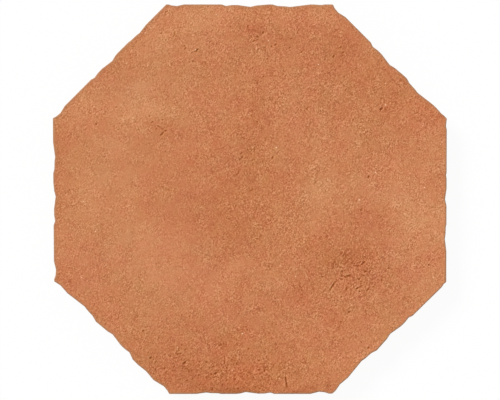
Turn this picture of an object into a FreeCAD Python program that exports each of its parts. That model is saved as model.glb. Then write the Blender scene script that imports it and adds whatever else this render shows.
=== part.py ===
import FreeCAD, Part
import math
import os
import Sketcher

# A rustic octagonal terracotta floor tile, formed and fired as one piece of clay.
# Millimetres and degrees. The origin is the middle of the back, +Z comes out of the
# worn face, +X is to the right and +Y upwards as the tile is seen from the front.

# Sizes of the whole tile. Each can be set by itself.
SIZES = {
    "across_flats": 300.0,
    "thickness": 20.0,
    "side_lean": 3.0,
    "arris_bevel": 0.8,
    "groove_pitch": 18.0,
    "groove_mouth": 9.0,
    "groove_floor": 6.5,
    "groove_depth": 1.5,
    "groove_margin": 12.0,
    "cut_overrun": 10.0,
}

# The eight sides, anticlockwise. Each was trimmed by one straight cut and then nicked
# along its length, and neither line lies quite where it should. For each side: how far
# its straight cut lies outside half the nominal width, and the cut's tilt; how far
# outside half the nominal width its nicking line lies, and that line's tilt; and how
# far clockwise the nicks slid along the side.
SIDE_SIZES = ("cut_out", "cut_tilt", "nick_out", "nick_tilt", "nick_slide")
SIDES = {
    "right": (0.3, -0.2, 1.85, -0.3, -0.8),
    "upper_right": (0.2, 0.0, 1.0, 0.0, 1.8),
    "top": (-0.8, 0.0, 0.05, -0.2, -0.7),
    "upper_left": (0.95, 0.0, 2.3, 0.6, -0.7),
    "left": (0.65, 0.4, 1.65, 0.75, 1.3),
    "lower_left": (0.9, 0.0, 0.35, 0.1, 0.5),
    "bottom": (-1.0, 0.0, 0.25, 0.7, 2.5),
    "lower_right": (0.7, -0.6, 1.4, -1.55, -3.8),
}
TURN = 360 / len(SIDES)

# The nicks along one side, going clockwise past its middle: where each flake meets the
# next, along the side, and how deep that corner lies below the nicking line.
NICKS = [
    (-62.6, 0.75),
    (-59.6, 1.85),
    (-55.2, 2.30),
    (-46.0, 0.10),
    (-37.2, 0.90),
    (-29.2, 0.00),
    (-23.6, 0.00),
    (-18.0, 2.10),
    (-13.4, 1.40),
    (-9.0, 1.35),
    (0.9, 2.75),
    (5.4, 1.65),
    (17.0, 0.65),
    (21.6, 2.00),
    (27.8, 2.25),
    (31.0, 2.75),
    (47.6, 0.65),
    (55.4, 1.15),
    (61.0, 0.00),
    (64.6, 0.00),
    (67.6, 0.50),
]

# Expressions of those sizes that more than one feature uses.
HALF_WIDTH = "(Sizes.across_flats / 2)"
HALF_SIDE = f"({HALF_WIDTH} * tan({TURN / 2} deg))"
BEVEL_FOOT = "(Sizes.thickness - Sizes.arris_bevel)"
HALF_GROOVES = f"floor(({HALF_WIDTH} - Sizes.groove_margin) / Sizes.groove_pitch + 0.5)"


def make_sheet(doc):
    """The driving sizes, one row each: a name, and the number that goes by that name."""
    rows = dict(SIZES)
    for side, values in SIDES.items():
        for name, value in zip(SIDE_SIZES, values):
            rows[f"{side}_{name}"] = value
    for number, (along, deep) in enumerate(NICKS, 1):
        rows[f"nick_{number}_along"] = along
        rows[f"nick_{number}_deep"] = deep
    sheet = doc.addObject("Spreadsheet::Sheet", "Sizes")
    for row, (name, value) in enumerate(rows.items(), 1):
        sheet.set(f"A{row}", name)
        sheet.set(f"B{row}", str(value))
        sheet.setAlias(f"B{row}", name)
    doc.recompute()


def origin_feature(body, role):
    """One of the body's own origin planes or axes."""
    return next(feature for feature in body.Origin.OriginFeatures if feature.Role == role)


def new_sketch(body, name, role):
    """An empty sketch on one of the body's origin planes."""
    sketch = body.newObject("Sketcher::SketchObject", name)
    sketch.AttachmentSupport = [(origin_feature(body, role), "")]
    sketch.MapMode = "FlatFace"
    return sketch


def draw_lines(sketch, points):
    """A closed run of lines through the points, each line joined to the one before it."""
    for number, point in enumerate(points):
        sketch.addGeometry(Part.LineSegment(point, points[(number + 1) % len(points)]))
    for number in range(len(points)):
        before = (number - 1) % len(points)
        sketch.addConstraint(Sketcher.Constraint("Coincident", before, 2, number, 1))


def draw_polygon(sketch, corners):
    """A closed outline whose corners are given as pairs of expressions of the sizes."""
    points = [FreeCAD.Vector(sketch.evalExpression(x), sketch.evalExpression(y), 0) for x, y in corners]
    draw_lines(sketch, points)
    for number, (point, (x, y)) in enumerate(zip(points, corners)):
        across = sketch.addConstraint(Sketcher.Constraint("DistanceX", -1, 1, number, 1, point.x))
        sketch.setExpression(f"Constraints[{across}]", x)
        up = sketch.addConstraint(Sketcher.Constraint("DistanceY", -1, 1, number, 1, point.y))
        sketch.setExpression(f"Constraints[{up}]", y)


def crossing(first, second):
    """Where two straight cuts cross, each given as its distance and direction from the middle."""
    distance, direction = first[0], math.radians(first[1])
    turn = math.radians(second[1]) - direction
    along = (second[0] - distance * math.cos(turn)) / math.sin(turn)
    x = distance * math.cos(direction) - along * math.sin(direction)
    y = distance * math.sin(direction) + along * math.cos(direction)
    return FreeCAD.Vector(x, y, 0)


def draw_face(body):
    """The face as the eight straight cuts left it, each at its own distance and tilt."""
    sketch = new_sketch(body, "trimmed_face", "XY_Plane")
    sketch.setExpression("AttachmentOffset.Base.z", "Sizes.thickness")
    sizes = []
    for number, side in enumerate(SIDES):
        sizes.append((f"{HALF_WIDTH} + Sizes.{side}_cut_out", f"{number * TURN} + Sizes.{side}_cut_tilt"))
    cuts = [(sketch.evalExpression(distance), sketch.evalExpression(direction)) for distance, direction in sizes]
    draw_lines(sketch, [crossing(cuts[number - 1], cut) for number, cut in enumerate(cuts)])
    for number, (distance, direction) in enumerate(sizes):
        apart = sketch.addConstraint(Sketcher.Constraint("Distance", -1, 1, number, cuts[number][0]))
        sketch.setExpression(f"Constraints[{apart}]", distance)
        way = sketch.addConstraint(Sketcher.Constraint("Angle", number, math.radians(cuts[number][1] + 90)))
        sketch.setExpression(f"Constraints[{way}]", f"({direction} + 90) * 1 deg")
    return sketch


def draw_strip(body, number, side):
    """The strip struck off one side, at the foot of the bevel: nicked inside, plain outside."""
    sketch = new_sketch(body, f"{side}_strip", "XY_Plane")
    out = f"({HALF_WIDTH} + Sizes.{side}_nick_out)"
    slide = f"Sizes.{side}_nick_slide"
    facing = f"{number * TURN} deg"
    sketch.setExpression("AttachmentOffset.Base.x", f"{out} * cos({facing}) + {slide} * sin({facing})")
    sketch.setExpression("AttachmentOffset.Base.y", f"{out} * sin({facing}) - {slide} * cos({facing})")
    sketch.setExpression("AttachmentOffset.Base.z", BEVEL_FOOT)
    tilt = f"Sizes.{side}_nick_tilt"
    sketch.setExpression("AttachmentOffset.Rotation.Angle", f"({number * TURN - 90} + {tilt}) * 1 deg")

    last = len(NICKS)
    start = f"-max({HALF_SIDE}; -Sizes.nick_1_along) - Sizes.cut_overrun"
    end = f"max({HALF_SIDE}; Sizes.nick_{last}_along) + Sizes.cut_overrun"
    corners = [(start, "Sizes.cut_overrun"), (start, "-Sizes.nick_1_deep")]
    for nick in range(1, last + 1):
        corners.append((f"Sizes.nick_{nick}_along", f"-Sizes.nick_{nick}_deep"))
    corners += [(end, f"-Sizes.nick_{last}_deep"), (end, "Sizes.cut_overrun")]
    draw_polygon(sketch, corners)
    return sketch


def level_parts(parts, height):
    """Which of a shape's faces or edges lie flat at one height, counted from 1."""
    found = []
    for number, part in enumerate(parts, 1):
        if all(abs(corner.Z - height) < 1e-6 for corner in part.Vertexes):
            found.append(number)
    return found


def make_slab(body):
    """The octagon before it is nicked: its sides lean in to the back, and its arris is bevelled."""
    slab = body.newObject("PartDesign::Pad", "slab")
    slab.Profile = draw_face(body)
    slab.Reversed = True
    slab.setExpression("Length", "Sizes.thickness")
    body.Document.recompute()

    top = level_parts(slab.Shape.Faces, SIZES["thickness"])
    back = level_parts(slab.Shape.Faces, 0)
    sides = [number for number in range(1, len(slab.Shape.Faces) + 1) if number not in top + back]
    leaning = body.newObject("PartDesign::Draft", "leaning_sides")
    leaning.Base = (slab, [f"Face{number}" for number in sides])
    leaning.NeutralPlane = (slab, [f"Face{number}" for number in top])
    leaning.Reversed = True
    leaning.setExpression("Angle", "Sizes.side_lean")
    body.Document.recompute()

    arris = level_parts(leaning.Shape.Edges, SIZES["thickness"])
    bevelled = body.newObject("PartDesign::Chamfer", "bevelled_arris")
    bevelled.Base = (leaning, [f"Edge{number}" for number in arris])
    bevelled.setExpression("Size", "Sizes.arris_bevel")


def nick_side(body, number, side):
    """Strikes the nicked strip off one side, and bevels the arris along its nicks."""
    strip = draw_strip(body, number, side)
    nicked = body.newObject("PartDesign::Pocket", f"{side}_nicked")
    nicked.Profile = strip
    nicked.setExpression("Length", "Sizes.thickness")
    nicked.Refine = False

    # The same strip again, up from the foot of the bevel and as far into the tile.
    inwards = math.radians(number * TURN + 180)
    bevelled = body.newObject("PartDesign::Pocket", f"{side}_bevelled")
    bevelled.Profile = strip
    bevelled.UseCustomVector = True
    bevelled.Direction = FreeCAD.Vector(math.cos(inwards), math.sin(inwards), 1)
    bevelled.AlongSketchNormal = True
    bevelled.setExpression("Length", "Sizes.arris_bevel")
    bevelled.Refine = False


def groove_back(body):
    """Shallow keying grooves right across the back, with a land between them at its middle."""
    sketch = new_sketch(body, "groove_section", "XZ_Plane")
    middle = f"-({HALF_GROOVES} - 0.5) * Sizes.groove_pitch"
    mouth, floor = "Sizes.groove_mouth / 2", "Sizes.groove_floor / 2"
    corners = [(f"{middle} - {mouth}", "0"), (f"{middle} + {mouth}", "0")]
    corners += [(f"{middle} + {floor}", "Sizes.groove_depth"), (f"{middle} - {floor}", "Sizes.groove_depth")]
    draw_polygon(sketch, corners)

    groove = body.newObject("PartDesign::Pocket", "keying_groove")
    groove.Profile = sketch
    groove.SideType = "Symmetric"
    groove.setExpression("Length", "Sizes.across_flats + 2 * Sizes.cut_overrun")
    grooves = body.newObject("PartDesign::LinearPattern", "keying_grooves")
    grooves.Originals = [groove]
    grooves.Direction = (origin_feature(body, "X_Axis"), [""])
    grooves.Mode = "Spacing"
    grooves.setExpression("Offset", "Sizes.groove_pitch")
    grooves.setExpression("Occurrences", f"2 * {HALF_GROOVES}")
    body.Tip = grooves


doc = FreeCAD.newDocument("floor_tile")
make_sheet(doc)
tile = doc.addObject("PartDesign::Body", "octagonal_tile")
tile.Label = "octagonal_tile"
make_slab(tile)
for number, side in enumerate(SIDES):
    nick_side(tile, number, side)
groove_back(tile)
doc.recompute()

failed = [item.Name for item in doc.Objects if "Invalid" in item.State or "Error" in item.State]
if failed:
    raise RuntimeError(f"these did not build: {failed}")
if tile.Shape.isNull() or not tile.Shape.isValid() or len(tile.Shape.Solids) != 1:
    raise RuntimeError("the tile is not one valid solid")
if tile.Shape.Volume >= doc.getObject("keying_groove").BaseFeature.Shape.Volume:
    raise RuntimeError("the keying grooves cut nothing")
for side in SIDES:
    nicked = doc.getObject(f"{side}_bevelled").Shape.Volume
    whole = doc.getObject(f"{side}_nicked").BaseFeature.Shape.Volume
    print(f"{side}: the nicks take off {whole - nicked:.0f} cubic mm")

os.makedirs("parts", exist_ok=True)
tile.Shape.exportStep("parts/octagonal_tile.step")
print(f"octagonal_tile: {tile.Shape.Volume / 1e6:.3f} litres, {len(tile.Shape.Faces)} faces")
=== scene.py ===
import math

import bpy
import numpy as np
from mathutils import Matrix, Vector
from mathutils.bvhtree import BVHTree
from mathutils.geometry import delaunay_2d_cdt
from mathutils.kdtree import KDTree


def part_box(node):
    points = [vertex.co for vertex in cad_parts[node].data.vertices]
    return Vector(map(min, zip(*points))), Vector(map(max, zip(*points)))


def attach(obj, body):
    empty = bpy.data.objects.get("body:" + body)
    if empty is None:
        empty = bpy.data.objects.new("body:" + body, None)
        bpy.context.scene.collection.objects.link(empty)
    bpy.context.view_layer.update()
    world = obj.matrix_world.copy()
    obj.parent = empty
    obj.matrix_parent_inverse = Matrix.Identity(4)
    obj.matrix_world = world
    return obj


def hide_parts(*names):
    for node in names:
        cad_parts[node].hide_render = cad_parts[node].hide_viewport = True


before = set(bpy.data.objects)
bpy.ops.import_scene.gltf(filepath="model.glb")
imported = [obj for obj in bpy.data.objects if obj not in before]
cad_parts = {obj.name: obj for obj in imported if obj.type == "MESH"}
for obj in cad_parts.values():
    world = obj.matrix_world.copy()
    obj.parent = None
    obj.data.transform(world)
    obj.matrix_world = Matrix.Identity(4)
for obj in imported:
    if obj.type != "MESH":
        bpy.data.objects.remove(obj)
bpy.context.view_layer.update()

# The slab
# The tile is one slab of pressed red clay, trimmed to an octagon and fired as one solid. Its outline,
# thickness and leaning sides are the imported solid's. Here the nicked upper edge gets its worn rounding,
# and the nicks soften as they run down the sides.
MM = 0.001
APOTHEM = 150 * MM
BEVEL_FOOT = 19.2 * MM
EDGE_POINTS = 1280
# Each ring of the worn edge is (how far in from the bevel's foot, how far below the face), in millimetres.
WORN_EDGE = ((1.05, 0.0), (0.62, 0.05), (0.32, 0.18), (0.12, 0.42), (0.0, 0.8))
WEAR_SEED = 11
WEAR_STEPS = 96
WEAR_RANGE = (0.6, 1.35)
SIDE_HEIGHTS = (17.2, 14.2, 11.0, 7.6, 4.6, 2.6)
SOFTENED_AT_TOP = 2
SOFTENED_EACH_STEP = 3
# Each ring of the back's blunt edge is (how far in from the side, how high), in millimetres.
BACK_EDGE = ((0.12, 0.5), (0.5, 0.0))

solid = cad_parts["octagonal_tile"]
low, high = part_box("octagonal_tile")
corners = [v.co for v in solid.data.vertices]
surface = BVHTree.FromPolygons(corners, [p.vertices for p in solid.data.polygons])
turns = np.linspace(0, 2 * math.pi, EDGE_POINTS, endpoint=False)
spokes = np.c_[np.cos(turns), np.sin(turns)]


def outline_at(height):
    """The solid's outline at that height, as points in order round the tile."""
    ring = []
    for x, y in spokes:
        start = Vector((x, y, 0)) * 2 * APOTHEM + Vector((0, 0, height))
        ring.append(surface.ray_cast(start, Vector((-x, -y, 0)))[0].xy)
    return np.array(ring)


def softened(ring, times):
    """The same ring with its small nicks and corners rounded off a little more each time."""
    for _ in range(times):
        ring = (np.roll(ring, 1, 0) + 2 * ring + np.roll(ring, -1, 0)) / 4
    return ring


def at_height(ring, height):
    """The ring's points in space, all at that height."""
    return np.c_[ring, np.full(EDGE_POINTS, height)]


draw = np.random.default_rng(WEAR_SEED)
knots = draw.uniform(*WEAR_RANGE, WEAR_STEPS + 1)
knots[-1] = knots[0]
wear = np.interp(turns, np.linspace(0, 2 * math.pi, WEAR_STEPS + 1), knots)[:, None]
foot = outline_at(BEVEL_FOOT - 0.1 * MM)
rings = []
for inset, drop in WORN_EDGE:
    rings.append(at_height(foot * (1 - inset * MM * wear / APOTHEM), high.z - drop * MM))
for step, height in enumerate(SIDE_HEIGHTS):
    ring = softened(outline_at(height * MM), SOFTENED_AT_TOP + SOFTENED_EACH_STEP * step)
    rings.append(at_height(ring, height * MM))
side_foot = rings[-1][:, :2]
for inset, height in BACK_EDGE:
    rings.append(at_height(side_foot * (1 - inset * MM / APOTHEM), height * MM))

# The marks in the face
# Grit dragged under the smoothing board left short slanting cuts, and a few longer scratches, cracks and
# torn patches. Small pricks are strewn over the whole face, most of them where it is torn.

# Each cut is (x, y, length, angle, depth), in millimetres from the tile's centre and in degrees.
CUTS = (
    (74.5, -58.8, 6.4, 20, 0.50), (86.5, -48.8, 4.8, 42, 0.42), (81.8, -51.0, 3.2, 8, 0.26),
    (88.2, -55.2, 2.6, 24, 0.36), (83.5, -60.8, 3.0, 32, 0.34), (82.0, -68.2, 3.2, 34, 0.42),
    (89.8, -69.4, 3.6, 52, 0.40), (63.1, -66.2, 8.2, 57, 0.42), (66.0, -62.0, 2.8, 84, 0.24),
    (73.7, -68.4, 4.0, 78, 0.36), (77.0, -72.5, 3.2, 66, 0.26), (70.0, -55.5, 3.4, 4, 0.20),
    (84.6, -65.0, 2.2, 55, 0.22), (95.0, -66.0, 2.8, 60, 0.20), (105.9, -52.8, 1.4, 30, 0.36),
    (97.0, -43.0, 1.6, 60, 0.24), (87.0, -54.0, 1.4, 40, 0.24),
    (-50.2, -125.2, 3.0, 46, 0.52), (-26.2, -133.2, 2.6, 42, 0.48), (-55.3, -116.0, 6.6, 56, 0.24),
    (-58.2, -128.4, 1.6, 40, 0.34), (-39.4, -134.8, 1.6, 50, 0.30), (-21.4, -142.2, 1.5, 20, 0.36),
    (27.6, -139.5, 9.8, 97, 0.46), (22.0, -136.0, 2.6, 20, 0.26), (12.0, -128.8, 4.6, 52, 0.24),
    (-41.0, 113.8, 4.2, 42, 0.46), (-57.9, 126.8, 5.0, 78, 0.28), (-49.6, 115.4, 2.8, 80, 0.26),
    (-43.5, 105.8, 1.8, 30, 0.30), (-30.5, 120.6, 1.6, 60, 0.26),
    (63.8, 109.2, 3.0, 58, 0.40), (39.2, 112.7, 1.7, 30, 0.32), (100.4, 69.3, 3.6, 50, 0.46),
    (-67.5, 50.0, 4.6, 47, 0.36), (-71.5, 54.0, 2.0, 40, 0.20), (-84.7, 41.5, 3.0, 110, 0.16),
    (-75.1, 59.0, 2.2, 50, 0.28), (-78.3, 59.0, 1.2, 60, 0.20), (-67.0, 54.0, 2.4, -55, 0.22),
    (-69.8, 55.8, 2.2, -50, 0.20), (-59.8, 43.7, 1.4, 30, 0.24), (-50.6, 61.3, 1.2, 60, 0.24),
    (-46.1, 66.5, 1.0, 30, 0.20), (64.4, -48.0, 5.0, 58, 0.20),
    (90.4, -113.5, 1.8, 40, 0.36), (-19.5, -123.2, 7.6, 91, 0.24), (44.0, -54.0, 44.0, -46, 0.09),
    (-71.7, -124.1, 1.6, 60, 0.28), (-65.3, -129.4, 2.0, 50, 0.34), (-64.4, -132.4, 1.6, 20, 0.26),
    (-57.3, -121.9, 5.2, 33, 0.20), (-46.8, -131.1, 2.4, 75, 0.22), (-38.6, -124.5, 2.2, 50, 0.22),
    (-31.0, -128.7, 1.6, 60, 0.24), (-22.2, -111.4, 5.0, 28, 0.20), (-17.5, -145.0, 1.6, 45, 0.26),
    (-9.3, -145.0, 1.8, 20, 0.26), (6.9, -130.6, 2.2, 30, 0.30), (10.8, -130.0, 1.6, 60, 0.24),
    (2.8, 46.2, 2.2, 50, 0.24), (-0.7, 45.4, 1.8, 55, 0.20), (3.9, 42.0, 1.6, 20, 0.24),
    (3.2, 38.7, 2.8, 60, 0.32), (0.6, 34.7, 1.5, 50, 0.28), (-1.8, 37.8, 1.6, 45, 0.22),
    (-6.7, 35.0, 2.4, 50, 0.24), (-6.2, 31.9, 3.2, 65, 0.28), (-8.9, 20.9, 2.8, 70, 0.28),
    (-10.2, 19.1, 1.6, 40, 0.22), (1.0, 7.3, 3.6, 50, 0.22),
    (9.9, 127.5, 2.0, 70, 0.42), (5.9, 124.2, 1.8, -20, 0.40), (19.6, 118.3, 2.6, 40, 0.38),
    (6.0, 114.7, 1.6, 80, 0.30), (-1.8, 132.2, 2.2, 75, 0.28), (10.9, 116.1, 2.2, 10, 0.26),
    (2.9, 121.1, 2.6, 30, 0.24), (36.4, 127.9, 2.4, 85, 0.28), (0.5, 124.0, 3.0, 60, 0.24),
)
# Each torn patch is (x, y, half width, half height, how torn it is), in millimetres.
TORN = (
    (80, -59, 23, 20, 1.0), (11, 122, 11, 8, 0.8), (-32, -131, 54, 12, 0.85), (-66, 50, 16, 12, 0.8),
    (-38, 116, 16, 10, 0.6), (66, 106, 12, 9, 0.6), (-68, -124, 22, 15, 0.8), (0, 36, 13, 18, 0.3),
    (62, -88, 46, 36, 0.2), (40, 70, 70, 60, 0.15), (-30, -60, 60, 60, 0.1), (-113, -90, 9, 9, 0.5),
    (-67, 136, 9, 8, 0.4), (125, 79, 9, 8, 0.4), (86, -9, 9, 8, 0.4),
)
PRICK_SEED = 5
PRICK_TRIES = 2000
PRICK_CHANCE = 0.025
TORN_PRICK_CHANCE = 0.8
PRICK_LENGTHS = (0.8, 2.4)
PRICK_ANGLE = 46
PRICK_ANGLE_SPREAD = 16
PRICK_DEPTHS = (0.14, 0.40)
CUT_WIDTH = 0.60
CUT_WANDER = 0.12
WANDER_RATE = 2.1
LIP = 0.27
LIP_PLACE = 2.1
FACE_ROOM = 0.12
# The face's points lie closest together along the marks, and less close round them and where it is torn.
FACE_SPACING = 1.45
TORN_SPACING = 0.9
CUT_SPACING = 0.33
CUT_REACH = 1.15
TORN_REACH = 2.4
TORN_ENOUGH = 0.35
JITTER = 0.16
RIM_GAP = 0.35
FAR_AWAY = 99.0


def along_cut(points, cut):
    """How far each point is along that cut from its middle, and how far to its side, in millimetres."""
    x, y, _, angle, _ = cut
    turn = math.radians(angle)
    away = points / MM - (x, y)
    along = away @ (math.cos(turn), math.sin(turn))
    side = away @ (-math.sin(turn), math.cos(turn))
    return along, side + CUT_WANDER * np.sin(WANDER_RATE * along + x)


def beside(places, cut, reach):
    """Which of the places, in millimetres, are near enough to the cut to be worth measuring."""
    return (abs(places - cut[:2]) < cut[2] / 2 + reach).all(1)


def lattice(spacing, jitter):
    """Points in staggered rows over the whole tile, each moved a little."""
    rows = np.arange(low.y, high.y, spacing * MM * math.sin(math.pi / 3))
    columns = np.arange(low.x, high.x, spacing * MM)
    x, y = np.meshgrid(columns, rows)
    x[1::2] += spacing * MM / 2
    points = np.c_[x.ravel(), y.ravel()]
    return points + draw.uniform(-jitter * spacing * MM, jitter * spacing * MM, points.shape)


def inside_ring(points, ring, gap):
    """Those points that are inside the ring by at least the gap, in millimetres."""
    reach = np.hypot(*ring.T)
    turn = np.arctan2(points[:, 1], points[:, 0]) % (2 * math.pi)
    limit = np.interp(turn, np.append(turns, 2 * math.pi), np.append(reach, reach[0]))
    return points[np.hypot(*points.T) < limit - gap * MM]


def cut_distance(points):
    """Each point's distance from the nearest mark, in millimetres."""
    nearest = np.full(len(points), FAR_AWAY)
    places = points / MM
    for cut in marks:
        near = beside(places, cut, TORN_REACH)
        along, side = along_cut(points[near], cut)
        gap = np.hypot(np.maximum(abs(along) - cut[2] / 2, 0), side)
        nearest[near] = np.minimum(nearest[near], gap)
    return nearest


def torn_share(points):
    """How torn the face is at each point, from 0 where it is smooth."""
    share = np.zeros(len(points))
    for x, y, across, up, strength in TORN:
        away = (points / MM - (x, y)) / (across, up)
        share = np.maximum(share, strength * np.exp(-((away ** 2).sum(1)) ** 2))
    return share


draw = np.random.default_rng(PRICK_SEED)
places = draw.uniform(-APOTHEM / MM, APOTHEM / MM, (PRICK_TRIES, 2))
lengths = draw.uniform(*PRICK_LENGTHS, PRICK_TRIES)
angles = draw.normal(PRICK_ANGLE, PRICK_ANGLE_SPREAD, PRICK_TRIES)
depths = draw.uniform(*PRICK_DEPTHS, PRICK_TRIES)
taken = draw.random(PRICK_TRIES) < PRICK_CHANCE + TORN_PRICK_CHANCE * torn_share(places * MM)
pricks = np.c_[places, lengths, angles, depths][taken]
marks = [*CUTS, *pricks.tolist()]

face_points = []
for spacing, nearest, furthest in (
    (CUT_SPACING, 0, CUT_REACH),
    (TORN_SPACING, CUT_REACH, TORN_REACH),
    (FACE_SPACING, TORN_REACH, math.inf),
):
    points = inside_ring(lattice(spacing, JITTER), rings[0][:, :2], RIM_GAP * spacing)
    gap = cut_distance(points)
    is_torn = torn_share(points) > TORN_ENOUGH
    keep = (gap >= nearest) & (gap < furthest)
    if spacing == TORN_SPACING:
        keep |= (gap >= furthest) & is_torn
    if spacing == FACE_SPACING:
        keep &= ~is_torn
    face_points.append(points[keep])
face_points = np.vstack(face_points)
# Points of two lattices that all but meet count once.
_, apart = np.unique((face_points / (CUT_SPACING * 0.5 * MM)).round(), axis=0, return_index=True)
face_points = face_points[np.sort(apart)]

cut_depth = np.zeros(len(face_points))
raised = np.zeros(len(face_points))
face_places = face_points / MM
for cut in marks:
    _, _, length, _, depth = cut
    near = beside(face_places, cut, TORN_REACH)
    along, side = along_cut(face_points[near], cut)
    taper = np.clip(1 - (2 * along / length) ** 4, 0, 1)
    width = CUT_WIDTH * (0.75 + 0.6 * depth)
    cut_depth[near] = np.maximum(cut_depth[near], depth * taper * np.exp(-((side / width) ** 2)))
    lip = np.exp(-(((abs(side) - LIP_PLACE * width) / width) ** 2))
    raised[near] = np.maximum(raised[near], LIP * depth * taper * lip)
deepest = max(cut[4] for cut in marks)
face_z = high.z - FACE_ROOM * MM + (raised - cut_depth) * MM

# The keyed back
# The back was pressed on a ribbed board, which left the straight grooves that mortar grips. They run from
# side to side right through the edges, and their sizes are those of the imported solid.
GROOVE_PITCH = 18.0
GROOVE_MOUTH = 9.0
GROOVE_FLOOR = 6.5
GROOVE_DEPTH = 1.5
GROOVES = 16
BACK_ROWS_EACH_WAY = 27
BACK_ROW = 5.5
BACK_GAP = 0.6
SAME_POINT = 1e-7

columns = []
for groove in range(GROOVES):
    middle = (groove - (GROOVES - 1) / 2) * GROOVE_PITCH
    for width in (-GROOVE_PITCH, -GROOVE_MOUTH, -GROOVE_FLOOR, 0, GROOVE_FLOOR, GROOVE_MOUTH):
        columns.append(middle + width / 2)
columns.append(GROOVES / 2 * GROOVE_PITCH)
rows = np.arange(-BACK_ROWS_EACH_WAY, BACK_ROWS_EACH_WAY + 1) * BACK_ROW
back_points = np.array([(x * MM, y * MM) for x in columns for y in rows])
back_points = inside_ring(back_points, rings[-1][:, :2], BACK_GAP)


def filled(ring, points):
    """Triangles that fill the ring through the points, counted from the ring's first point.
    A triangle outside it, across a nick, joins three of the ring's points in the wrong order."""
    count = len(ring)
    places = [Vector(p) for p in np.vstack([ring, points])]
    found = delaunay_2d_cdt(places, [], [list(range(count))], 1, SAME_POINT, False)
    if len(found[0]) != len(places):
        raise ValueError("the ring and its points don't fit together")
    triangles = np.array(found[2])
    steps = (np.roll(triangles, -1, 1) - triangles) % count
    outside = (triangles < count).all(1) & (steps.sum(1) != count)
    return triangles[~outside]


def numbered(triangles, ring_start, points_start):
    """The same triangles, counted in the vertices of the whole slab."""
    in_ring = triangles < EDGE_POINTS
    return np.where(in_ring, triangles + ring_start, triangles - EDGE_POINTS + points_start)


face_start = len(rings) * EDGE_POINTS
back_start = face_start + len(face_points)
last_ring = face_start - EDGE_POINTS
vertices = np.vstack([*rings, np.c_[face_points, face_z], np.c_[back_points, np.zeros(len(back_points))]])

face_triangles = numbered(filled(rings[0][:, :2], face_points), 0, face_start)
back_triangles = numbered(filled(rings[-1][:, :2], back_points)[:, ::-1], last_ring, back_start)
polygons = [*face_triangles.tolist(), *back_triangles.tolist()]
for upper in range(0, last_ring, EDGE_POINTS):
    lower = upper + EDGE_POINTS
    for i in range(EDGE_POINTS):
        following = (i + 1) % EDGE_POINTS
        polygons.append((upper + i, lower + i, lower + following, upper + following))
smooth = [True] * len(face_triangles) + [False] * len(back_triangles) + [True] * last_ring

slab_mesh = bpy.data.meshes.new("terracotta_slab")
slab_mesh.from_pydata(vertices.tolist(), [], polygons)
slab_mesh.polygons.foreach_set("use_smooth", smooth)

# The slab's points carry their distance from the edge in millimetres, and how much each of them is face,
# side, back, hollow, lip or torn.
FACE_ZONE = 1.2 * MM
BACK_ZONE = 0.4 * MM
SIDE_TOP = BEVEL_FOOT - 0.2 * MM
FACE_STARTS = 1.0
FACE_FADE = 2.5

edge = KDTree(EDGE_POINTS)
for i, (x, y) in enumerate(foot):
    edge.insert((x, y, 0), i)
edge.balance()
from_edge = np.array([edge.find((x, y, 0))[2] for x, y, _ in vertices]) / MM
level = vertices[:, 2]
on_face = level > high.z - FACE_ZONE
on_side = (level > BACK_ZONE) & (level < SIDE_TOP)


def over_face(values):
    """These values for the points inside the face, and 0 for all others."""
    spread = np.zeros(len(vertices))
    spread[face_start:back_start] = values
    return spread


for name, values in (
    ("from_edge", np.where(on_face, from_edge, 0)),
    ("face", np.where(on_face, np.clip((from_edge - FACE_STARTS) / FACE_FADE, 0, 1), 0)),
    ("side", on_side.astype(float)),
    ("back", (level < BACK_ZONE).astype(float)),
    ("hollow", over_face(cut_depth / deepest)),
    ("raised", over_face(raised / max(raised))),
    ("torn", over_face(torn_share(face_points))),
):
    slab_mesh.attributes.new(name, "FLOAT", "POINT").data.foreach_set("value", values.astype(np.float32))
slab = bpy.data.objects.new("terracotta_slab", slab_mesh)
bpy.context.scene.collection.objects.link(slab)

# The clay's surface
# Wet clay smoothed by hand is never flat: it waves, it is rippled by the board, and it is pitted where
# grit fell out. The sides, trimmed with a wire and left alone, are rougher, and the back keeps its grooves.
CLAY_SEED = 7
GROOVED_BELOW = 0.6 * MM
TEAR_TO_RIPPLE = 0.7
WELL_ON_FACE = 0.9
SURFACE_SIZES = {
    "Groove Pitch": GROOVE_PITCH * MM,
    "Groove Mouth": GROOVE_MOUTH * MM,
    "Groove Floor": GROOVE_FLOOR * MM,
    "Groove Depth": GROOVE_DEPTH * MM,
    "Keyed Half Width": GROOVES / 2 * GROOVE_PITCH * MM,
    "Wave Height": 0.16 * MM,
    "Wave Size": 55 * MM,
    "Ripple Height": 0.10 * MM,
    "Ripple Size": 5.0 * MM,
    "Tear Height": 0.50 * MM,
    "Pits per Area": 11000.0,
    "Pit Radius": 1.7 * MM,
    "Pit Depth": 0.08 * MM,
    "Side Roughness": 0.45 * MM,
    "Side Grain": 4.5 * MM,
}


def node(tree, kind, inputs=(), **settings):
    """Adds a node, sets it, and feeds its inputs with values or with other nodes' outputs."""
    made = tree.nodes.new(kind)
    for name, value in settings.items():
        setattr(made, name, value)
    for key, value in dict(inputs).items():
        if isinstance(value, bpy.types.NodeSocket):
            tree.links.new(value, made.inputs[key])
        else:
            made.inputs[key].default_value = value
    return made


def maths(tree, operation, first, second=0.0):
    """The result of one simple step on two values."""
    return node(tree, "ShaderNodeMath", {0: first, 1: second}, operation=operation).outputs[0]


def product(tree, *values):
    """All the values multiplied."""
    total = values[0]
    for value in values[1:]:
        total = maths(tree, "MULTIPLY", total, value)
    return total


def vector_maths(tree, operation, first, second):
    """The result of one simple step on two vectors, which is a value for a distance or a dot product."""
    made = node(tree, "ShaderNodeVectorMath", {0: first, 1: second}, operation=operation)
    return made.outputs["Value" if operation in ("DISTANCE", "DOT_PRODUCT") else "Vector"]


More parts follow.
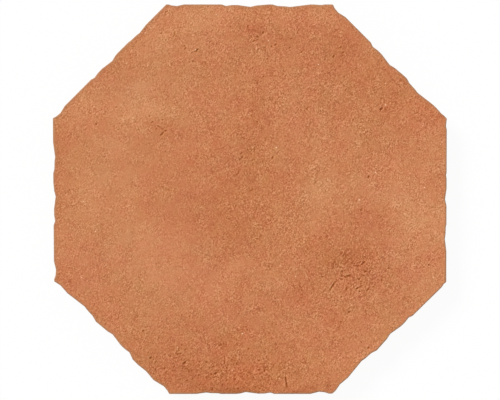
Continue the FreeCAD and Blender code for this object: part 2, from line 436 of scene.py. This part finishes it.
def scaled(tree, vector, factor):
    """The vector made longer or shorter."""
    return node(tree, "ShaderNodeVectorMath", {0: vector, "Scale": factor}, operation="SCALE").outputs[0]


def new_surface_tree(name, sizes):
    """An empty geometry tree with a mesh input, a named input for each size, a seed and a material."""
    tree = bpy.data.node_groups.new(name, "GeometryNodeTree")
    tree.interface.new_socket("Geometry", in_out="INPUT", socket_type="NodeSocketGeometry")
    for size, value in sizes.items():
        socket = tree.interface.new_socket(size, in_out="INPUT", socket_type="NodeSocketFloat")
        socket.default_value = value
    tree.interface.new_socket("Seed", in_out="INPUT", socket_type="NodeSocketInt")
    tree.interface.new_socket("Finish", in_out="INPUT", socket_type="NodeSocketMaterial")
    tree.interface.new_socket("Geometry", in_out="OUTPUT", socket_type="NodeSocketGeometry")
    return tree, node(tree, "NodeGroupInput").outputs


def end_tree(tree, shape, finish):
    """Ends a tree with real geometry in the given material."""
    real = node(tree, "GeometryNodeRealizeInstances", {"Geometry": shape})
    dressed = node(tree, "GeometryNodeSetMaterial", {"Geometry": real.outputs[0], "Material": finish})
    node(tree, "NodeGroupOutput", {"Geometry": dressed.outputs[0]})


def made_real(piece, tree, sizes, seed, finish):
    """Runs the tree on the piece with these sizes and keeps the result as its plain mesh."""
    modifier = piece.modifiers.new(tree.name, "NODES")
    modifier.node_group = tree
    values = {**sizes, "Seed": seed, "Finish": finish}
    for item in tree.interface.items_tree:
        if item.in_out == "INPUT" and item.name in values:
            modifier[item.identifier] = values[item.name]
    piece.update_tag()
    bpy.context.view_layer.update()
    depsgraph = bpy.context.evaluated_depsgraph_get()
    mesh = bpy.data.meshes.new_from_object(piece.evaluated_get(depsgraph), depsgraph=depsgraph)
    piece.modifiers.clear()
    piece.data = mesh
    mesh.name = piece.name


def float_attribute(tree, name):
    """A value that the mesh carries at each point."""
    return node(tree, "GeometryNodeInputNamedAttribute", {"Name": name}, data_type="FLOAT").outputs[0]


def noise_field(tree, size, seed, detail):
    """Soft seeded noise with features of that size."""
    made = node(
        tree, "ShaderNodeTexNoise",
        {"Scale": maths(tree, "DIVIDE", 1.0, size), "W": seed, "Detail": detail, "Roughness": 0.5},
        noise_dimensions="4D",
    )
    return made.outputs[0]


def random_value(tree, least, most, seed):
    """A random value for each point."""
    made = node(tree, "FunctionNodeRandomValue", {2: least, 3: most, "Seed": seed}, data_type="FLOAT")
    return made.outputs[1]


def scattered(tree, given, density):
    """Points strewn well inside the face, that many a square metre."""
    return node(tree, "GeometryNodeDistributePointsOnFaces", {
        "Mesh": given["Geometry"],
        "Selection": maths(tree, "GREATER_THAN", float_attribute(tree, "face"), WELL_ON_FACE),
        "Density": density,
        "Seed": given["Seed"],
    }).outputs["Points"]


def moved(tree, shape, offset):
    """The shape with each point moved by the offset."""
    return node(tree, "GeometryNodeSetPosition", {"Geometry": shape, "Offset": offset}).outputs[0]


def upwards(tree, height):
    """A vector straight up of that height."""
    return node(tree, "ShaderNodeCombineXYZ", {"Z": height}).outputs[0]


clay_tree, given = new_surface_tree("Fired Clay Surface", SURFACE_SIZES)
position = node(clay_tree, "GeometryNodeInputPosition").outputs[0]
axes = node(clay_tree, "ShaderNodeSeparateXYZ", {0: position}).outputs
half_pitch = product(clay_tree, given["Groove Pitch"], 0.5)
from_land = maths(clay_tree, "PINGPONG", axes["X"], half_pitch)
groove = node(clay_tree, "ShaderNodeMapRange", {
    "Value": maths(clay_tree, "SUBTRACT", half_pitch, from_land),
    "From Min": product(clay_tree, given["Groove Floor"], 0.5),
    "From Max": product(clay_tree, given["Groove Mouth"], 0.5),
    "To Min": given["Groove Depth"],
    "To Max": 0.0,
}).outputs[0]
keyed = maths(clay_tree, "LESS_THAN", maths(clay_tree, "ABSOLUTE", axes["X"]), given["Keyed Half Width"])
near_back = maths(clay_tree, "LESS_THAN", axes["Z"], GROOVED_BELOW)
groove_lift = product(clay_tree, groove, keyed, near_back)
shape = moved(clay_tree, given["Geometry"], upwards(clay_tree, groove_lift))

wave_noise = noise_field(clay_tree, given["Wave Size"], given["Seed"], 1.0)
waves = product(clay_tree, given["Wave Height"], wave_noise)
ripple_noise = noise_field(clay_tree, given["Ripple Size"], given["Seed"], 3.0)
ripples = product(clay_tree, given["Ripple Height"], ripple_noise)
tear_size = product(clay_tree, given["Ripple Size"], TEAR_TO_RIPPLE)
tear_noise = noise_field(clay_tree, tear_size, given["Seed"], 2.0)
tears = product(clay_tree, given["Tear Height"], float_attribute(clay_tree, "torn"), tear_noise)

pit_points = scattered(clay_tree, given, given["Pits per Area"])
nearest_pit = node(clay_tree, "GeometryNodeSampleNearest", {"Geometry": pit_points}).outputs[0]


def at_nearest_pit(value, kind):
    """That value at the pit nearest to each point."""
    return node(clay_tree, "GeometryNodeSampleIndex", {
        "Geometry": pit_points, "Value": value, "Index": nearest_pit,
    }, data_type=kind).outputs[0]


pit_middle = at_nearest_pit(position, "FLOAT_VECTOR")
pit_size = at_nearest_pit(random_value(clay_tree, 0.5, 1.0, given["Seed"]), "FLOAT")
pit_share = node(clay_tree, "ShaderNodeMapRange", {
    "Value": vector_maths(clay_tree, "DISTANCE", position, pit_middle),
    "From Min": 0.0,
    "From Max": product(clay_tree, given["Pit Radius"], pit_size),
    "To Min": pit_size,
    "To Max": 0.0,
}, interpolation_type="SMOOTHSTEP").outputs[0]
pits = product(clay_tree, given["Pit Depth"], pit_share)
drop = maths(clay_tree, "ADD", maths(clay_tree, "ADD", waves, ripples), maths(clay_tree, "ADD", tears, pits))
face_offset = product(clay_tree, drop, -1.0, float_attribute(clay_tree, "face"))
shape = moved(clay_tree, shape, upwards(clay_tree, face_offset))

side_noise = noise_field(clay_tree, given["Side Grain"], given["Seed"], 3.0)
side_drop = product(clay_tree, given["Side Roughness"], side_noise, float_attribute(clay_tree, "side"))
outwards = node(clay_tree, "GeometryNodeInputNormal").outputs[0]
shape = moved(clay_tree, shape, scaled(clay_tree, outwards, product(clay_tree, side_drop, -1.0)))
end_tree(clay_tree, shape, given["Finish"])

# The fired clay
# Iron-rich clay fires to a matt red-orange that is never even: redder and darker where it lay closer, paler
# and more ochre where it was dusted with sand. The skin is sandy, and it is painted grey-brown along the worn
# edge, as wear and as painted shade where the rounded edge turns away from the light.


def fired(red, green, blue):
    """A colour as it looks, from 0 to 255, turned into light values."""
    return [((c / 255 + 0.055) / 1.055) ** 2.4 for c in (red, green, blue)] + [1.0]


def new_mask_group(name, values):
    """An empty shader group that takes a place and these named values, and gives one value."""
    tree = bpy.data.node_groups.new(name, "ShaderNodeTree")
    tree.interface.new_socket("Place", in_out="INPUT", socket_type="NodeSocketVector")
    for value, (kind, start) in values.items():
        socket = tree.interface.new_socket(value, in_out="INPUT", socket_type=kind)
        socket.default_value = start
    tree.interface.new_socket("Value", in_out="OUTPUT", socket_type="NodeSocketFloat")
    return tree, node(tree, "NodeGroupInput").outputs


patch_group, given = new_mask_group("Soft Patch", {
    "Middle": ("NodeSocketVector", (0, 0, 0)),
    "Half Size": ("NodeSocketVector", (1, 1, 1)),
    "Strength": ("NodeSocketFloat", 0.0),
    "Sum": ("NodeSocketFloat", 0.0),
})
from_patch = vector_maths(patch_group, "SUBTRACT", given["Place"], given["Middle"])
from_patch = vector_maths(patch_group, "DIVIDE", from_patch, given["Half Size"])
squared = vector_maths(patch_group, "DOT_PRODUCT", from_patch, from_patch)
fade = maths(patch_group, "EXPONENT", product(patch_group, squared, -1.0))
patch = product(patch_group, fade, given["Strength"])
node(patch_group, "NodeGroupOutput", {"Value": maths(patch_group, "ADD", patch, given["Sum"])})

grain_group, given = new_mask_group("Sandy Grain", {
    "Grain Size": ("NodeSocketFloat", 0.001),
    "Speckle": ("NodeSocketFloat", 1.0),
})
fineness = maths(grain_group, "DIVIDE", 1.0, given["Grain Size"])
soft_grain = node(grain_group, "ShaderNodeTexNoise", {
    "Vector": given["Place"], "Scale": fineness, "Detail": 0.0, "Roughness": 0.5,
}).outputs[0]
sharp_grain = node(grain_group, "ShaderNodeTexVoronoi", {
    "Vector": given["Place"], "Scale": product(grain_group, fineness, 1.6),
}).outputs["Color"]
sharp_grain = node(grain_group, "ShaderNodeSeparateColor", {0: sharp_grain}).outputs[0]
sharp_grain = product(grain_group, maths(grain_group, "SUBTRACT", sharp_grain, 0.5), given["Speckle"])
soft_grain = product(grain_group, maths(grain_group, "SUBTRACT", soft_grain, 0.5), 2.6)
node(grain_group, "NodeGroupOutput", {"Value": maths(grain_group, "ADD", soft_grain, sharp_grain)})


def group_value(tree, group, inputs):
    """The value that a shader group gives with these inputs."""
    return node(tree, "ShaderNodeGroup", inputs, node_tree=group).outputs[0]


def new_material(name):
    """A material with only its surface shader, and the object's own coordinates."""
    made = bpy.data.materials.new(name)
    made.use_nodes = True
    shader = made.node_tree.nodes["Principled BSDF"]
    coordinates = node(made.node_tree, "ShaderNodeTexCoord").outputs["Object"]
    return made, made.node_tree, shader, coordinates


def plain_noise(tree, place, size, detail=2.0, roughness=0.5):
    """Soft noise round 0 with features of that size in millimetres."""
    made = node(tree, "ShaderNodeTexNoise", {
        "Vector": place, "Scale": 1 / (size * MM), "Detail": detail, "Roughness": roughness,
    })
    return maths(tree, "SUBTRACT", made.outputs[0], 0.5)


def weighted(tree, terms, start=0.0):
    """The start value plus each value times its weight."""
    total = start
    for value, weight in terms:
        made = node(tree, "ShaderNodeMath", {0: value, 1: weight, 2: total}, operation="MULTIPLY_ADD")
        total = made.outputs[0]
    return total


def mesh_value(tree, name):
    """A value that the mesh carries at each point, for a material."""
    return node(tree, "ShaderNodeAttribute", attribute_name=name).outputs["Fac"]


def mixed(tree, share, first, second):
    """Two colours mixed by a share."""
    made = node(tree, "ShaderNodeMix", {"Factor": share, "A": first, "B": second}, data_type="RGBA")
    return made.outputs["Result"]


def ramp(tree, value, stops):
    """A run of colours that a value picks from."""
    made = node(tree, "ShaderNodeValToRGB", {"Fac": value})
    for position, colour in stops[1:-1]:
        made.color_ramp.elements.new(position)
    for element, (position, colour) in zip(made.color_ramp.elements, stops):
        element.position = position
        element.color = colour
    return made.outputs["Color"]


RED_TONES = ((0.0, fired(141, 58, 21)), (0.25, fired(170, 85, 42)), (0.5, fired(198, 114, 70)),
             (0.75, fired(225, 143, 100)), (1.0, fired(249, 172, 130)))
OCHRE_TONES = ((0.0, fired(141, 78, 30)), (0.25, fired(170, 105, 53)), (0.5, fired(198, 134, 82)),
               (0.75, fired(225, 163, 113)), (1.0, fired(249, 192, 143)))
BLOOM = fired(204, 131, 106)
# The grey-brown painted along the worn edge is wear, and painted shade where the rounded edge turns from the
# light.
RIM_SHADE_AND_WEAR = fired(156, 128, 94)
RIM_SHADE_WIDTH = 2.2
RIM_SHADE_SHARE = 0.6

# Each patch is (x, y, half width, half height, strength), in millimetres from the tile's centre. The clay
# is paler where a tone patch is above 0, and yellower where an ochre patch is.
TONE_PATCHES = (
    (-38, 141, 30, 10, 0.08), (20, 143, 50, 8, 0.05), (-72, 120, 16, 14, 0.06), (-84, 70, 30, 14, 0.11),
    (-107, 20, 22, 24, 0.07), (-123, -3, 20, 30, 0.03), (-87, -39, 34, 26, 0.07), (-115, -35, 14, 16, -0.04),
    (-28, -59, 34, 18, 0.04), (50, 2, 16, 14, 0.10), (125, -14, 22, 24, 0.10), (140, -64, 14, 30, 0.05),
    (74, -121, 22, 14, 0.06), (-33, 97, 18, 14, -0.04), (-67, 50, 16, 12, -0.04), (5, 51, 12, 24, -0.07),
    (-8, 20, 22, 18, -0.05), (0, -26, 24, 20, -0.06), (-38, -10, 18, 14, -0.05), (74, -42, 26, 18, -0.12),
    (45, -80, 40, 22, -0.04), (66, 112, 22, 16, -0.06), (97, 78, 24, 18, -0.03), (118, 88, 18, 14, -0.03),
    (13, 127, 26, 12, -0.05), (-145, 40, 8, 20, -0.06), (89, -14, 20, 14, -0.05), (-24, -138, 50, 13, -0.135),
    (-10, -112, 60, 20, -0.05), (-134, 70, 16, 18, 0.06), (-96, 86, 11, 15, -0.03), (-104, 18, 22, 22, -0.04),
    (-34, -42, 15, 14, -0.05), (58, -26, 16, 14, 0.06), (57, 34, 14, 12, 0.04), (-12, -136, 26, 10, 0.07),
    (-80, -119, 14, 12, -0.05), (134, 30, 14, 18, 0.05), (-27, 125, 22, 14, 0.04), (42, -10, 14, 14, -0.04),
    (64, 87, 16, 15, -0.03), (-65, -4, 15, 16, -0.04), (-60, 68, 14, 8, 0.015), (86, 106, 14, 10, -0.03),
    (134, 48, 16, 12, 0.03), (105, 28, 16, 12, 0.03), (-10, 29, 34, 10, -0.02), (9, 30, 12, 12, -0.02),
    (47, 0, 12, 14, -0.03), (105, 8, 14, 12, 0.03), (138, -20, 14, 18, 0.03), (-104, -30, 12, 12, -0.03),
    (-10, -50, 12, 10, 0.03), (-29, -68, 14, 11, 0.045), (-40, -86, 18, 10, 0.03), (-8, -86, 10, 10, -0.02),
    (86, -66, 12, 10, -0.03), (47, -97, 16, 17, 0.045), (-66, -125, 12, 10, -0.02),
    (8, -151, 46, 6, -0.30), (-120, 32, 14, 14, -0.03), (4, 97, 16, 8, 0.025),
    (2, 112, 16, 8, -0.035), (94, 34, 14, 14, -0.03), (-22, -56, 9, 8, 0.035), (-54, -70, 10, 8, -0.035),
)
OCHRE_PATCHES = (
    (-90, 76, 26, 20, 0.35), (-122, 25, 16, 24, 0.25), (-109, -18, 22, 20, 0.3), (-84, -72, 30, 24, 0.3),
    (51, 2, 20, 16, 0.35), (125, -14, 20, 18, 0.25), (76, 53, 22, 20, 0.25), (105, -90, 22, 24, 0.25),
    (128, -79, 18, 20, 0.25), (-14, -136, 60, 14, -0.45), (84, -31, 24, 20, -0.4), (137, 63, 12, 20, -0.35),
    (-67, 50, 20, 16, -0.2), (66, 112, 24, 16, -0.2), (-80, 88, 46, 44, 0.60), (-128, 10, 30, 44, 0.35),
    (-82, -55, 26, 30, 0.35),
    (-36, 141, 32, 12, 0.3), (50, 14, 30, 30, 0.3), (124, -4, 24, 30, 0.3),
    (9, 124, 14, 10, -0.4), (-67, 124, 12, 12, 0.2), (-100, 90, 18, 12, -0.6), (-76, 67, 22, 10, 0.4),
    (-29, 67, 14, 12, -0.45), (-6, 46, 16, 12, -0.25), (48, 29, 12, 10, 0.25), (116, 38, 22, 16, 0.35),
    (-115, 8, 24, 24, 0.3), (-95, -10, 14, 12, 0.15), (-58, -10, 20, 12, -0.25), (68, -8, 12, 12, 0.3),
    (124, -10, 14, 12, 0.4), (-28, -28, 14, 12, -0.25), (-115, -48, 18, 14, -0.3), (-10, -48, 12, 10, 0.35),
    (124, -48, 14, 12, -0.3), (-87, -67, 14, 12, 0.3), (14, -78, 22, 16, -0.33), (66, -86, 12, 12, -0.3),
    (-48, -140, 26, 12, -0.3), (45, -140, 18, 12, -0.3), (-84, -24, 14, 22, 0.3), (134, -22, 14, 18, 0.3),
    (2, 36, 14, 9, -0.35), (-6, -105, 15, 16, -0.3), (-54, 90, 12, 12, 0.3), (92, -72, 26, 10, -0.2),
)

# A pale bloom of salts makes the skin pinker where the clay dried slowly.
BLOOM_PATCHES = (
    (0, -130, 64, 26, -0.08), (-115, -50, 26, 18, 0.08), (-50, -45, 34, 36, 0.07), (-92, 82, 26, 14, 0.09),
    (118, -54, 22, 18, 0.07), (104, 5, 26, 14, 0.04), (48, 8, 14, 12, 0.05), (8, -4, 30, 28, -0.05),
    (66, -44, 30, 18, -0.07), (104, 76, 34, 22, -0.05), (-84, 26, 26, 16, 0.04), (-30, 67, 14, 12, 0.05),
    (47, 67, 14, 12, 0.05), (9, 143, 12, 8, -0.08), (-4, -133, 14, 10, -0.1), (-20, -14, 16, 22, -0.07),
    (-114, 28, 22, 24, 0.05), (0, 66, 14, 26, -0.06), (-38, 126, 20, 10, 0.05), (116, -4, 26, 12, 0.05),
)

# The skin is rougher near the torn places and along the lower edge, and smoother at the left.
ROUGH_PATCHES = (
    (79, -57, 28, 22, 0.34), (-32, -128, 56, 16, 0.24), (25, 135, 50, 18, 0.08), (40, 60, 60, 50, 0.05),
    (-100, 30, 60, 75, -0.28), (-55, -40, 50, 50, -0.18), (20, 80, 60, 40, 0.06), (30, 100, 12, 10, -0.25),
    (34, 40, 12, 10, -0.22), (8, 46, 9, 9, -0.2), (4, -36, 12, 10, 0.22), (-2, -12, 12, 10, 0.28),
    (29, -3, 11, 9, 0.22), (115, -50, 12, 10, 0.22), (56, 81, 10, 9, 0.3),
)
GRAIN_SIZE = 1.06 * MM
GRAIN_STREAK = (0.68, 1.06, 1.0)
GRAIN_TURN = math.radians(-28)
DRIFT_SIZE = 28 * MM
DRIFT_REACH = 34 * MM
ELSEWHERE = (0.4, 0.7, 0.0)

terracotta, tree, shader, place = new_material("terracotta")
drift = node(tree, "ShaderNodeTexNoise", {"Vector": place, "Scale": 1 / DRIFT_SIZE, "Detail": 2.0})
drift = vector_maths(tree, "SUBTRACT", drift.outputs["Color"], (0.5, 0.5, 0.5))
drifted = vector_maths(tree, "ADD", place, scaled(tree, drift, DRIFT_REACH))


def patched(patches):
    """All soft patches of a list added up over the tile."""
    total = 0.0
    for x, y, across, up, strength in patches:
        total = group_value(tree, patch_group, {
            "Place": drifted,
            "Middle": (x * MM, y * MM, high.z),
            "Half Size": (across * MM, up * MM, 1.0),
            "Strength": strength,
            "Sum": total,
        })
    return total


def clay_colour(share, value):
    """The clay's colour at that tone, with that share of ochre."""
    return mixed(tree, share, ramp(tree, value, RED_TONES), ramp(tree, value, OCHRE_TONES))


streaked = node(tree, "ShaderNodeMapping", {
    "Vector": place, "Rotation": (0, 0, GRAIN_TURN), "Scale": GRAIN_STREAK,
}, vector_type="TEXTURE").outputs[0]
grain = group_value(tree, grain_group, {"Place": streaked, "Grain Size": GRAIN_SIZE, "Speckle": 0.5})
rough = weighted(tree, (
    (patched(ROUGH_PATCHES), 1.0),
    (plain_noise(tree, place, 9, 2.0), 2.4),
), 1.0)
rough = maths(tree, "MAXIMUM", rough, 0.35)
grain = product(tree, grain, rough)
# The depth of the cuts and pricks paints their hollows darker and browner and keeps the pale bloom out of
# them: painted shade in the hollows.
painted_hollow_shade = mesh_value(tree, "hollow")
lumps = product(tree, plain_noise(tree, streaked, 2.0, 0.0), rough)
# The raised lips of the cuts are painted paler, as a painted highlight. The lumps and grain that the bump
# raises are painted paler and their low spots darker, as painted light and shade on the relief, besides the
# clay's own speckle.
tone = weighted(tree, (
    (patched(TONE_PATCHES), 1.0),
    (plain_noise(tree, place, 34, 2.0), 0.09),
    (plain_noise(tree, place, 11, 2.0), 0.09),
    (grain, 0.29),
    (lumps, 0.10),
    (painted_hollow_shade, -0.62),
    (mesh_value(tree, "raised"), 0.18),
), 0.5)
# The painted shade in the hollows is browner.
ochre = weighted(tree, (
    (patched(OCHRE_PATCHES), 0.42),
    (plain_noise(tree, place, 24, 4.0, 0.85), 1.85),
    (painted_hollow_shade, 0.3),
), 0.46)
elsewhere = vector_maths(tree, "ADD", place, ELSEWHERE)
# The bloom stays out of the painted shade in the hollows.
bloom = weighted(tree, (
    (patched(BLOOM_PATCHES), 1.0),
    (plain_noise(tree, elsewhere, 20, 4.0, 0.85), 0.5),
    (painted_hollow_shade, -0.35),
), 0.14)
# Within a couple of millimetres of the edge the clay is painted grey-brown: wear, and painted shade where the
# rounded edge turns from the light.
rim_shade_and_wear = node(tree, "ShaderNodeMapRange", {
    "Value": mesh_value(tree, "from_edge"),
    "From Min": 0.0,
    "From Max": RIM_SHADE_WIDTH,
    "To Min": RIM_SHADE_SHARE,
    "To Max": 0.0,
}, interpolation_type="SMOOTHSTEP").outputs[0]
raw_ochre = weighted(tree, ((plain_noise(tree, place, 26, 3.0), 1.6),), 0.45)
side_tone = weighted(tree, (
    (plain_noise(tree, place, 14, 3.0), 0.35),
    (plain_noise(tree, place, 2.2, 2.0), 0.3),
    (grain, 0.10),
), 0.42)
back_tone = weighted(tree, (
    (plain_noise(tree, place, 30, 3.0), 0.3),
    (plain_noise(tree, place, 4, 3.0), 0.2),
    (grain, 0.12),
), 0.55)
skin = mixed(tree, rim_shade_and_wear, clay_colour(ochre, tone), RIM_SHADE_AND_WEAR)
skin = mixed(tree, mesh_value(tree, "side"), skin, clay_colour(raw_ochre, side_tone))
skin = mixed(tree, mesh_value(tree, "back"), skin, clay_colour(raw_ochre, back_tone))
skin = mixed(tree, bloom, skin, BLOOM)
tree.links.new(skin, shader.inputs["Base Color"])
roughness = weighted(tree, ((grain, 0.06), (plain_noise(tree, place, 6, 2.0), 0.12)), 0.86)
tree.links.new(roughness, shader.inputs["Roughness"])
shader.inputs["Specular IOR Level"].default_value = 0.25
relief = weighted(tree, ((grain, 0.08), (lumps, 0.24)))
bump = node(tree, "ShaderNodeBump", {"Height": relief, "Strength": 1.0, "Distance": 1.0 * MM})
tree.links.new(bump.outputs[0], shader.inputs["Normal"])

made_real(slab, clay_tree, SURFACE_SIZES, CLAY_SEED, terracotta)
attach(slab, "root")
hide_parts("octagonal_tile")

# The grog
# Crushed fired clay and sand were mixed into the body to keep it from cracking. A few grains show at the
# face as pale specks, pressed in until they stand just proud of the skin.
GROG_SEED = 23
GROG_SIZES = {
    "Grains per Area": 2600.0,
    "Smallest Grain": 0.16 * MM,
    "Largest Grain": 0.42 * MM,
    "Sunk Share": 0.25,
    "Flatness": 0.45,
}
GRAIN_TURNS = (0.0, 0.0, 6.3)
SEATING_HEIGHT = 1 * MM
GROG_TONES = ((0.0, fired(214, 152, 111)), (0.5, fired(239, 187, 148)), (1.0, fired(252, 222, 190)))
# Each of the largest grains is (x, y, radius), in millimetres from the tile's centre.
LARGE_GRAINS = (
    (83.6, -0.4, 1.06), (20.1, 39.6, 0.90), (14.0, 121.5, 0.86), (103.5, 72.5, 0.84),
    (-41.8, 114.6, 0.66), (-25.8, 141.4, 0.98), (-55.6, -113.4, 0.66), (133.3, 9.0, 0.80),
    (28.5, -139.4, 0.48), (23.2, -50.6, 0.76), (-13.5, -131.0, 0.58), (95.9, 20.5, 0.76),
    (34.7, -59.1, 0.84), (-127.5, -1.7, 0.84), (-118.3, -24.6, 0.68), (103.5, 88.6, 0.74),
    (52.3, 103.1, 0.68), (145.6, 34.3, 0.74), (-80.1, 127.6, 0.72), (-129.0, -59.8, 0.82),
    (140.2, -59.8, 0.90), (-5.9, -102.7, 0.76), (-1.3, 64.9, 0.66), (-94.6, 103.9, 0.68),
)

grog_tree, given = new_surface_tree("Grog Grains", GROG_SIZES)
every_grain = node(grog_tree, "GeometryNodeJoinGeometry")
small_grains = node(grog_tree, "GeometryNodeSetPointRadius", {
    "Points": scattered(grog_tree, given, given["Grains per Area"]),
    "Radius": random_value(grog_tree, given["Smallest Grain"], given["Largest Grain"], given["Seed"]),
})
grog_tree.links.new(small_grains.outputs[0], every_grain.inputs[0])
straight_below = node(grog_tree, "GeometryNodeRaycast", {
    "Target Geometry": given["Geometry"], "Ray Direction": (0, 0, -1), "Ray Length": 1.0,
}).outputs["Hit Position"]
for x, y, size in LARGE_GRAINS:
    above = (x * MM, y * MM, high.z + SEATING_HEIGHT)
    held = node(grog_tree, "GeometryNodePoints", {"Count": 1, "Position": above, "Radius": size * MM})
    seated = node(grog_tree, "GeometryNodeSetPosition", {
        "Geometry": held.outputs[0], "Position": straight_below,
    })
    grog_tree.links.new(seated.outputs[0], every_grain.inputs[0])
radius = node(grog_tree, "GeometryNodeInputRadius").outputs[0]
sunk = product(grog_tree, radius, given["Sunk Share"], -1.0)
grain_turn = node(grog_tree, "FunctionNodeRandomValue", {
    1: GRAIN_TURNS, "Seed": given["Seed"],
}, data_type="FLOAT_VECTOR").outputs[0]
flattened = node(grog_tree, "ShaderNodeCombineXYZ", {
    "X": radius, "Y": radius, "Z": product(grog_tree, radius, given["Flatness"]),
}).outputs[0]
ball = node(grog_tree, "GeometryNodeMeshIcoSphere", {"Radius": 1.0, "Subdivisions": 1}).outputs["Mesh"]
grains = node(grog_tree, "GeometryNodeInstanceOnPoints", {
    "Points": moved(grog_tree, every_grain.outputs[0], upwards(grog_tree, sunk)),
    "Instance": ball,
    "Rotation": grain_turn,
    "Scale": flattened,
}).outputs[0]
end_tree(grog_tree, grains, given["Finish"])

pale_grog, tree, shader, place = new_material("pale_grog")
grain = group_value(tree, grain_group, {"Place": place, "Grain Size": 1.2 * MM, "Speckle": 1.6})
grog_tone = weighted(tree, ((grain, 0.35),), 0.5)
tree.links.new(ramp(tree, grog_tone, GROG_TONES), shader.inputs["Base Color"])
shader.inputs["Roughness"].default_value = 0.8
shader.inputs["Specular IOR Level"].default_value = 0.3

grog = bpy.data.objects.new("grog_grains", slab.data)
bpy.context.scene.collection.objects.link(grog)
made_real(grog, grog_tree, GROG_SIZES, GROG_SEED, pale_grog)
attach(grog, "root")

# The studio
# The tile lies face up on a wide white sweep under a large soft lamp at the upper left, with white light
# from all round. The camera hangs straight above on a long lens.
FLOOR_HALF = 4.0
FLOOR_DROP = 0.05 * MM
FLOOR_GLOW = 0.94
SHADOW_EDGE = (144.5 * MM, 147 * MM)
ROUND_LIGHT = 0.52
LAMP_HEIGHT_ANGLE = 42
LAMP_SIDE_ANGLE = 225
LAMP_SIZE_ANGLE = 22
CAMERA_HEIGHT = 2.0
SENSOR_WIDTH = 36.0
PIXEL = 0.765 * MM
PICTURE_WIDTH = 500
PICTURE_MIDDLE = (250.0, 200.0)
TILE_MIDDLE = (250.2, 199.3)

floor_mesh = bpy.data.meshes.new("studio_floor")
floor_corners = []
for x, y in ((-1, -1), (1, -1), (1, 1), (-1, 1)):
    floor_corners.append((x * FLOOR_HALF, y * FLOOR_HALF, -FLOOR_DROP))
floor_mesh.from_pydata(floor_corners, [], [(0, 1, 2, 3)])
floor = bpy.data.objects.new("studio_floor", floor_mesh)
bpy.context.scene.collection.objects.link(floor)


def seen_directly(tree):
    """1 for light that the camera sees straight, by a reflection or through glass, and 0 otherwise."""
    path = node(tree, "ShaderNodeLightPath").outputs
    seen = maths(tree, "MAXIMUM", path["Is Camera Ray"], path["Is Glossy Ray"])
    return maths(tree, "MAXIMUM", seen, path["Is Transmission Ray"])


# The sweep glows white for the camera, but not under the tile, where the mouths of the grooves stay dark.
white, tree, shader, place = new_material("white_sweep")
shader.inputs["Base Color"].default_value = (0.97, 0.97, 0.97, 1)
shader.inputs["Roughness"].default_value = 1.0
shader.inputs["Specular IOR Level"].default_value = 0.0
glow = node(tree, "ShaderNodeEmission", {"Color": (1, 1, 1, 1), "Strength": 1.0}).outputs[0]
from_middle = 0.0
for eighth in range(4):
    turn = eighth * math.pi / 4
    across = (math.cos(turn), math.sin(turn), 0)
    from_side = maths(tree, "ABSOLUTE", vector_maths(tree, "DOT_PRODUCT", place, across))
    from_middle = maths(tree, "MAXIMUM", from_middle, from_side)
in_the_open = node(tree, "ShaderNodeMapRange", {
    "Value": from_middle, "From Min": SHADOW_EDGE[0], "From Max": SHADOW_EDGE[1],
}, interpolation_type="SMOOTHSTEP").outputs[0]
glow_share = product(tree, seen_directly(tree), in_the_open, FLOOR_GLOW)
swept = node(tree, "ShaderNodeMixShader", {0: glow_share, 1: shader.outputs[0], 2: glow}).outputs[0]
tree.links.new(swept, tree.nodes["Material Output"].inputs["Surface"])
floor_mesh.materials.append(white)

world = bpy.data.worlds.new("white_room")
world.use_nodes = True
room = world.node_tree
background = room.nodes["Background"]
background.inputs["Color"].default_value = (1, 1, 1, 1)
strength = weighted(room, ((seen_directly(room), 1 - ROUND_LIGHT),), ROUND_LIGHT)
room.links.new(strength, background.inputs["Strength"])
bpy.context.scene.world = world

lamp_data = bpy.data.lights.new("soft_lamp", "SUN")
lamp_data.energy = math.pi * (1 - ROUND_LIGHT) / math.sin(math.radians(LAMP_HEIGHT_ANGLE))
lamp_data.angle = math.radians(LAMP_SIZE_ANGLE)
lamp = bpy.data.objects.new("soft_lamp", lamp_data)
lamp.rotation_euler = (math.radians(90 - LAMP_HEIGHT_ANGLE), 0, math.radians(LAMP_SIDE_ANGLE))
bpy.context.scene.collection.objects.link(lamp)

camera_data = bpy.data.cameras.new("camera")
camera_data.sensor_width = SENSOR_WIDTH
camera_data.lens = SENSOR_WIDTH * CAMERA_HEIGHT / (PICTURE_WIDTH * PIXEL)
camera = bpy.data.objects.new("camera", camera_data)
camera.location = (
    (PICTURE_MIDDLE[0] - TILE_MIDDLE[0]) * PIXEL,
    (TILE_MIDDLE[1] - PICTURE_MIDDLE[1]) * PIXEL,
    high.z + CAMERA_HEIGHT,
)
bpy.context.scene.collection.objects.link(camera)
bpy.context.scene.camera = camera
bpy.context.scene.view_settings.view_transform = "Standard"
